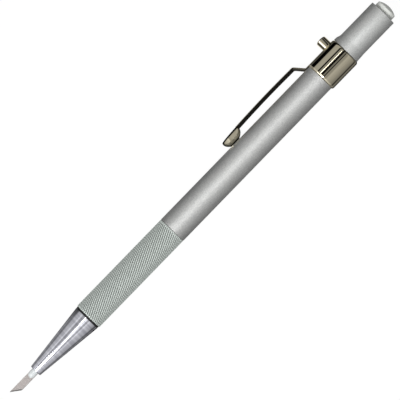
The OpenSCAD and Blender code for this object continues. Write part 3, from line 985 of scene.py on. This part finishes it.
# The studio's long panels: stops of (degrees round the knife from the camera's side, brightness)
nose_panels = [
    (-180, 0.02), (-150, 0.05), (-132, 0.3), (-120, 0.16), (-106, 0.16), (-92, 0.45), (-50, 0.62),
    (-36, 0.95), (-30, 0.5), (-18, 0.5), (-14, 1.2), (4, 1.2), (10, 0.75), (20, 0.38), (34, 0.42),
    (40, 0.85), (47, 0.85), (53, 0.6), (84, 0.52), (95, 0.22), (112, 0.22), (130, 0.36), (150, 0.1),
    (180, 0.02),
]
band_panels = [
    (-180, 0.01), (-150, 0.012), (-128, 0.2), (-120, 0.18), (-114, 0.03), (-106, 0.03), (-98, 0.2),
    (-38, 0.45), (-30, 0.28), (-17, 0.28), (-16, 0.0), (-11, 0.0), (-9, 0.2), (0, 0.18), (1, 0.0),
    (13, 0.0), (16, 0.3), (35, 0.3), (36, 0.0), (45, 0.0), (47, 0.4), (82, 0.36), (87, 0.0), (116, 0.0),
    (126, 0.09), (150, 0.03), (180, 0.01),
]


def studio():
    """The world: white to a camera, an even grey to rough surfaces, and to bright ones a studio of long
    panels that lie along the knife. The panels towards the nose differ from those round the band, and all
    fade at the knife's two ends."""
    grey = 0.4, 0.4, 0.4, 1
    white = 1, 1, 1, 1
    nose_until, band_from = -0.09, -0.05
    fade_from, fade_until, fade_share = 0.7, 0.95, 0.1
    world = bpy.data.worlds.new("studio")
    bpy.context.scene.world = world
    world.use_nodes = True
    tree = world.node_tree
    place = tree.nodes.new("ShaderNodeTexCoord")

    def part(way):
        """How far a ray goes along a way."""
        dot = tree.nodes.new("ShaderNodeVectorMath")
        dot.operation = "DOT_PRODUCT"
        dot.inputs[1].default_value = way
        tree.links.new(place.outputs["Generated"], dot.inputs[0])
        return dot.outputs["Value"]

    angle = tree.nodes.new("ShaderNodeMath")
    angle.operation = "ARCTAN2"
    tree.links.new(part(upward), angle.inputs[0])
    tree.links.new(part(towards), angle.inputs[1])
    share = tree.nodes.new("ShaderNodeMapRange")
    share.inputs["From Min"].default_value = -np.pi
    share.inputs["From Max"].default_value = np.pi
    tree.links.new(angle.outputs[0], share.inputs["Value"])

    def panels(stops):
        """The brightness that a ray meets, by its angle round the knife."""
        ramp = tree.nodes.new("ShaderNodeValToRGB")
        points = ramp.color_ramp.elements
        for position, bright in stops:
            spot = points.new((position + 180) / 360)
            spot.color = (bright, bright, bright, 1)
        points.remove(points[0])
        tree.links.new(share.outputs["Result"], ramp.inputs["Fac"])
        return ramp.outputs["Color"]

    side_mix = tree.nodes.new("ShaderNodeMapRange")
    side_mix.inputs["From Min"].default_value = nose_until
    side_mix.inputs["From Max"].default_value = band_from
    tree.links.new(part(along), side_mix.inputs["Value"])
    both = tree.nodes.new("ShaderNodeMix")
    both.data_type = "RGBA"
    tree.links.new(side_mix.outputs["Result"], both.inputs["Factor"])
    tree.links.new(panels(nose_panels), both.inputs["A"])
    tree.links.new(panels(band_panels), both.inputs["B"])
    ends = tree.nodes.new("ShaderNodeMath")
    ends.operation = "ABSOLUTE"
    tree.links.new(part(along), ends.inputs[0])
    fade = tree.nodes.new("ShaderNodeMapRange")
    fade.inputs["From Min"].default_value = fade_from
    fade.inputs["From Max"].default_value = fade_until
    fade.inputs["To Min"].default_value = 1
    fade.inputs["To Max"].default_value = fade_share
    tree.links.new(ends.outputs[0], fade.inputs["Value"])
    shaded = tree.nodes.new("ShaderNodeVectorMath")
    shaded.operation = "SCALE"
    tree.links.new(both.outputs["Result"], shaded.inputs[0])
    tree.links.new(fade.outputs["Result"], shaded.inputs["Scale"])
    path = tree.nodes.new("ShaderNodeLightPath")
    shade = tree.nodes.new("ShaderNodeMix")
    shade.data_type = "RGBA"
    shade.inputs["A"].default_value = grey
    tree.links.new(path.outputs["Is Glossy Ray"], shade.inputs["Factor"])
    tree.links.new(shaded.outputs["Vector"], shade.inputs["B"])
    seen = tree.nodes.new("ShaderNodeMix")
    seen.data_type = "RGBA"
    seen.inputs["B"].default_value = white
    tree.links.new(path.outputs["Is Camera Ray"], seen.inputs["Factor"])
    tree.links.new(shade.outputs["Result"], seen.inputs["A"])
    tree.links.new(seen.outputs["Result"], tree.nodes["Background"].inputs["Color"])


studio()


def lamp(name, spread, radiance, lean, climb, askew=0):
    """A flat lamp that faces the knife from a distance, with angles in degrees: spread is its width and
    height, lean its angle towards the tail, climb its angle towards the clip, and askew the turn of its long
    side from the knife."""
    distance = 2.0
    light = bpy.data.lights.new(name, "AREA")
    light.shape = "RECTANGLE"
    light.size, light.size_y = 2 * distance * np.tan(np.radians(spread) / 2)
    light.cycles.max_bounces = 0
    light.energy = radiance * np.pi * light.size * light.size_y
    lean, climb, askew = np.radians([lean, climb, askew])
    middle = np.sin(lean) * along + np.cos(lean) * (np.cos(climb) * towards + np.sin(climb) * upward)
    level = unit(along - middle * (along @ middle))
    long_way = np.cos(askew) * level + np.sin(askew) * np.cross(middle, level)
    placed = bpy.data.objects.new(name, light)
    placed.matrix_world = facing(distance * middle, long_way, np.cross(middle, long_way), middle)
    bpy.context.scene.collection.objects.link(placed)


lamp("strip", spread=(52.4, 2.6), radiance=4, lean=-12, climb=-0.8, askew=56)
lamp("front_panel", spread=(24, 24), radiance=2, lean=-37, climb=30)
lamp("key", spread=(14, 20), radiance=22, lean=-27, climb=-2)

bpy.context.scene.view_settings.view_transform = "Standard"
